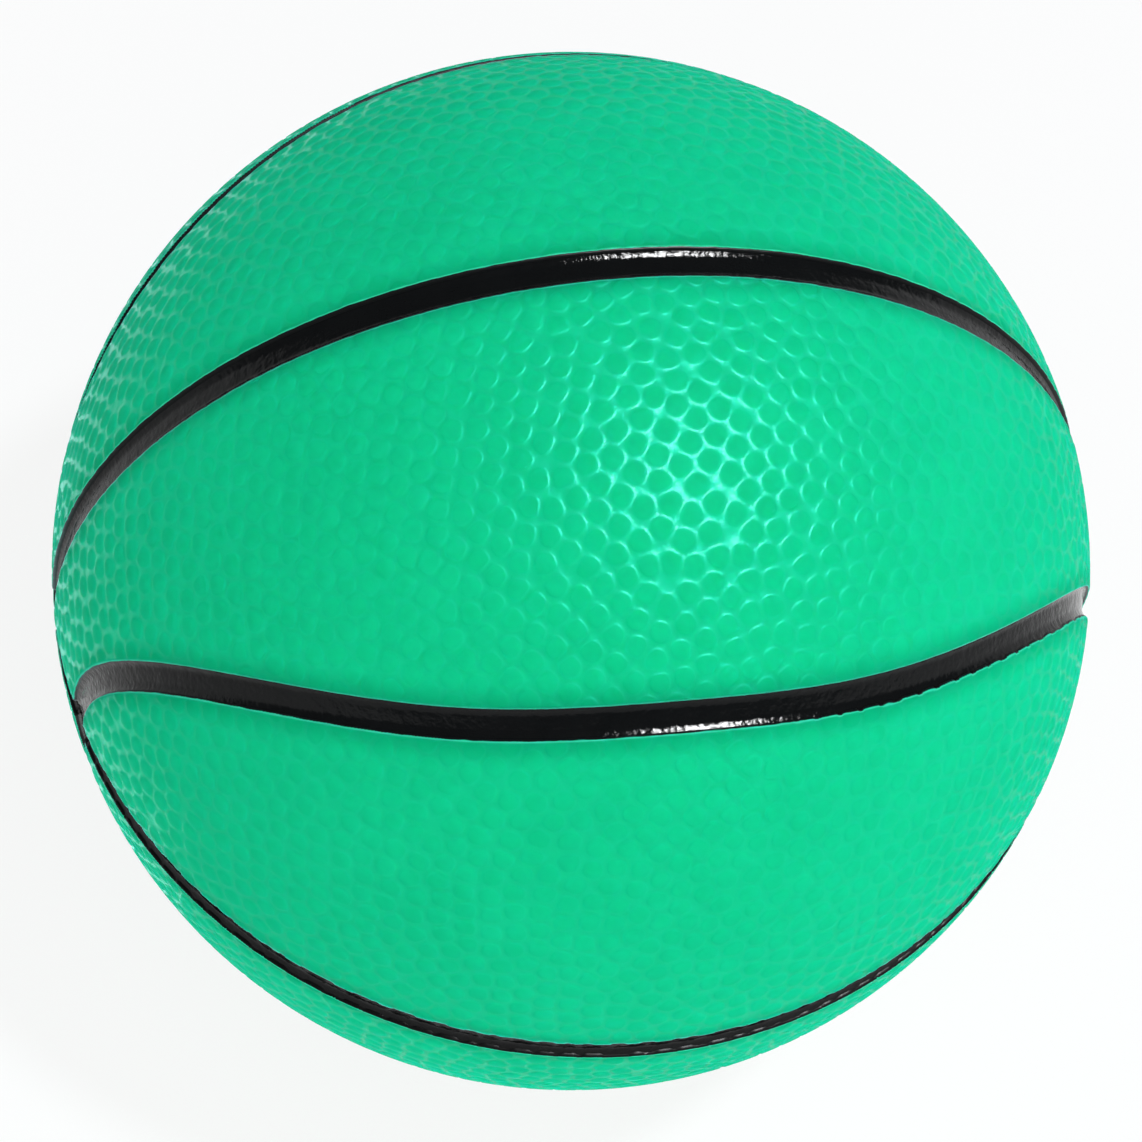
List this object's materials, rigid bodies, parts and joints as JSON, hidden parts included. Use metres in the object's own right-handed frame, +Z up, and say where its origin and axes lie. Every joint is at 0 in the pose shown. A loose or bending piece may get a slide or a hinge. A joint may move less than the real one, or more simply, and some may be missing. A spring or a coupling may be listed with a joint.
{
  "type": "mini rubber basketball",
  "caption": "Small inflatable rubber basketball: pebbled green cover panels, sunk black channels between them and a needle valve, for indoor hoops and play.",
  "frame": {"origin": "centre of the ball", "axes": "+Z up, square to the cross channel; +Y through the middles of the oval channels, out through the valve; +X through the crossing of the centre channel and the cross channel"},
  "size_m": [0.1268, 0.1268, 0.127],
  "materials": {
    "panel_rubber": "pebbled green rubber, matte pebble tops and slightly glossy valleys",
    "channel_rubber": "smooth glossy black rubber",
    "carcass_rubber": "dull dark rubber",
    "nylon_thread": "off-white nylon thread set in latex",
    "butyl_rubber": "dull black butyl",
    "valve_rubber": "satin black rubber"
  },
  "bodies": {
    "root": {"saddle_panel_front_top": "panel_rubber", "saddle_panel_front_bottom": "panel_rubber", "saddle_panel_back_top": "panel_rubber", "saddle_panel_back_bottom": "panel_rubber", "half_oval_panel_front_top": "panel_rubber", "half_oval_panel_front_bottom": "panel_rubber", "half_oval_panel_back_top": "panel_rubber", "half_oval_panel_back_bottom": "panel_rubber", "centre_ring_strip": "channel_rubber", "oval_ring_strip_front": "channel_rubber", "oval_ring_strip_back": "channel_rubber", "cross_strip_front_right": "channel_rubber", "cross_strip_front_left": "channel_rubber", "cross_strip_back_right": "channel_rubber", "cross_strip_back_left": "channel_rubber", "cross_strip_front_oval": "channel_rubber", "cross_strip_valve_right": "channel_rubber", "cross_strip_valve_left": "channel_rubber", "carcass_shell": "carcass_rubber", "thread_winding": "nylon_thread", "bladder": "butyl_rubber", "valve_body": "valve_rubber", "valve_core": "valve_rubber"}
  },
  "joints": []
}
